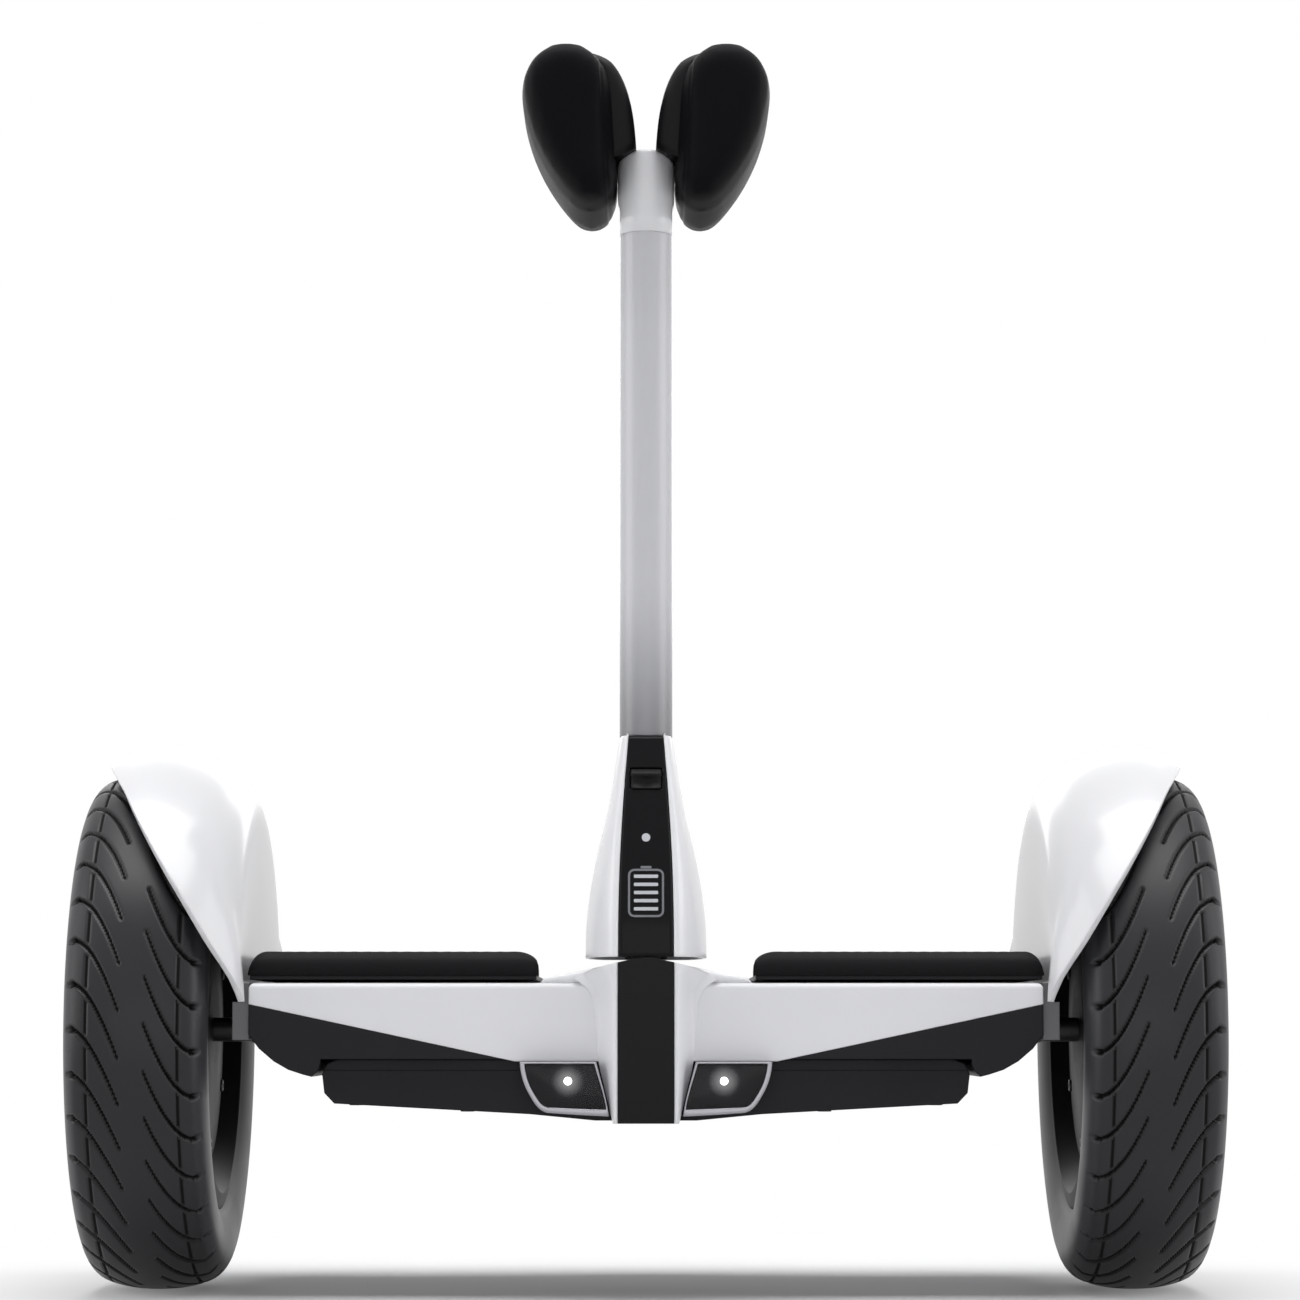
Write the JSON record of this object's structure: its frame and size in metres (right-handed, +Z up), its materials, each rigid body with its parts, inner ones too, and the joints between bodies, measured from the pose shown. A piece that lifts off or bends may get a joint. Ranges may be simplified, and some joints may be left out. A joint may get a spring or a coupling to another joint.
{
  "type": "self balancing personal transporter",
  "caption": "Self balancing personal transporter with hub motor wheels in white fenders, a low foot platform with rubber mats and a tilting knee bar with pads",
  "frame": {"origin": "on the floor, midway between the two wheels, under their common axle line", "axes": "+Z up, +X towards the rider's left wheel along the axle line, -Y towards the headlamps"},
  "size_m": [0.548, 0.256, 0.602],
  "materials": {
    "white_plastic": "gloss",
    "white_coated_aluminium": "satin",
    "bare_casting": "satin",
    "dark_plastic": "satin",
    "black_gloss": "gloss",
    "black_satin": "satin",
    "tyre_rubber": "matte",
    "soft_rubber": "matte",
    "rim_dark": "satin",
    "steel": "satin",
    "magnet": "satin",
    "laminated_iron": "satin",
    "bronze": "satin",
    "cell_wrap": "gloss",
    "board": "satin",
    "lamp_silver": "satin",
    "smoky_lens": "polished",
    "lamp_white": "gloss",
    "tail_lens": "gloss",
    "pad_cover": "satin"
  },
  "bodies": {
    "chassis": {"axle_clamps": "bare_casting", "battery_case": "dark_plastic", "battery_cells": "cell_wrap", "battery_lid": "dark_plastic", "belly_pan": "dark_plastic", "charge_port": "black_satin", "control_board": "board", "fender_brackets": "bare_casting", "fender_left": "white_plastic", "fender_right": "white_plastic", "foot_switches": "dark_plastic", "front_fascia": "white_plastic", "front_strip": "black_gloss", "lamp_housing_left": "lamp_silver", "lamp_housing_right": "lamp_silver", "lamp_leds": "lamp_white", "lamp_lens_left": "smoky_lens", "lamp_lens_right": "smoky_lens", "main_frame": "white_coated_aluminium", "pivot_bushes": "bronze", "rear_fascia": "white_plastic", "rear_strip": "black_gloss", "stators": "laminated_iron", "strip_cap": "black_gloss", "tail_lamp_left": "tail_lens", "tail_lamp_right": "tail_lens", "top_cover": "white_plastic", "torsion_sleeve": "soft_rubber", "wheel_axles": "steel", "wheel_bearings": "steel"},
    "wheel_left": {"tyre_left": "tyre_rubber", "rim_left": "rim_dark", "valve_left": "soft_rubber", "motor_cover_left": "rim_dark", "magnets_left": "magnet"},
    "wheel_right": {"tyre_right": "tyre_rubber", "rim_right": "rim_dark", "valve_right": "soft_rubber", "motor_cover_right": "rim_dark", "magnets_right": "magnet"},
    "steering": {"neck_frame": "bare_casting", "steering_shaft": "steel", "neck_cover_left": "white_plastic", "neck_cover_right": "white_plastic", "neck_rear_panel": "white_plastic", "display_panel": "black_gloss"},
    "release": {"release_button": "black_satin"},
    "control_bar": {"bar_tube": "white_coated_aluminium", "bar_plug": "bare_casting", "yoke": "white_coated_aluminium", "pad_bracket_left": "dark_plastic", "pad_bracket_right": "dark_plastic", "knee_pad_left": "pad_cover", "knee_pad_right": "pad_cover"},
    "mat_left": {"mat_plate_left": "dark_plastic", "foot_mat_left": "soft_rubber"},
    "mat_right": {"mat_plate_right": "dark_plastic", "foot_mat_right": "soft_rubber"},
    "power_button": {"power_button": "black_satin"},
    "charge_cap": {"charge_cap": "soft_rubber"}
  },
  "joints": [
    {"name": "wheel_left_spin", "type": "hinge", "parent": "chassis", "child": "wheel_left", "pos_m": [0.24, 0, 0.128], "axis": [1, 0, 0], "continuous": true},
    {"name": "wheel_right_spin", "type": "hinge", "parent": "chassis", "child": "wheel_right", "pos_m": [-0.24, 0, 0.128], "axis": [1, 0, 0], "continuous": true},
    {"name": "steering_tilt", "type": "hinge", "parent": "chassis", "child": "steering", "pos_m": [0, -0.07, 0.128], "axis": [0, 1, 0], "range_deg": [-12, 12], "stiffness_Nm_per_rad": 40},
    {"name": "bar_lift", "type": "slide", "parent": "steering", "child": "control_bar", "axis": [0, 0, 1], "range_m": [0, 0.07]},
    {"name": "release_press", "type": "slide", "parent": "steering", "child": "release", "axis": [0, 1, 0], "range_m": [0, 0.003], "stiffness_N_per_m": 400, "springref_m": -0.002},
    {"name": "mat_left_press", "type": "slide", "parent": "chassis", "child": "mat_left", "axis": [0, 0, -1], "range_m": [0, 0.0015], "stiffness_N_per_m": 4000, "springref_m": -0.002},
    {"name": "mat_right_press", "type": "slide", "parent": "chassis", "child": "mat_right", "axis": [0, 0, -1], "range_m": [0, 0.0015], "stiffness_N_per_m": 4000, "springref_m": -0.002},
    {"name": "power_press", "type": "slide", "parent": "chassis", "child": "power_button", "axis": [0, -1, 0], "range_m": [0, 0.0012], "stiffness_N_per_m": 300, "springref_m": -0.001},
    {"name": "cap_open", "type": "hinge", "parent": "chassis", "child": "charge_cap", "pos_m": [0, 0.1123, 0.124], "axis": [1, 0, 0], "range_deg": [0, 110]}
  ]
}
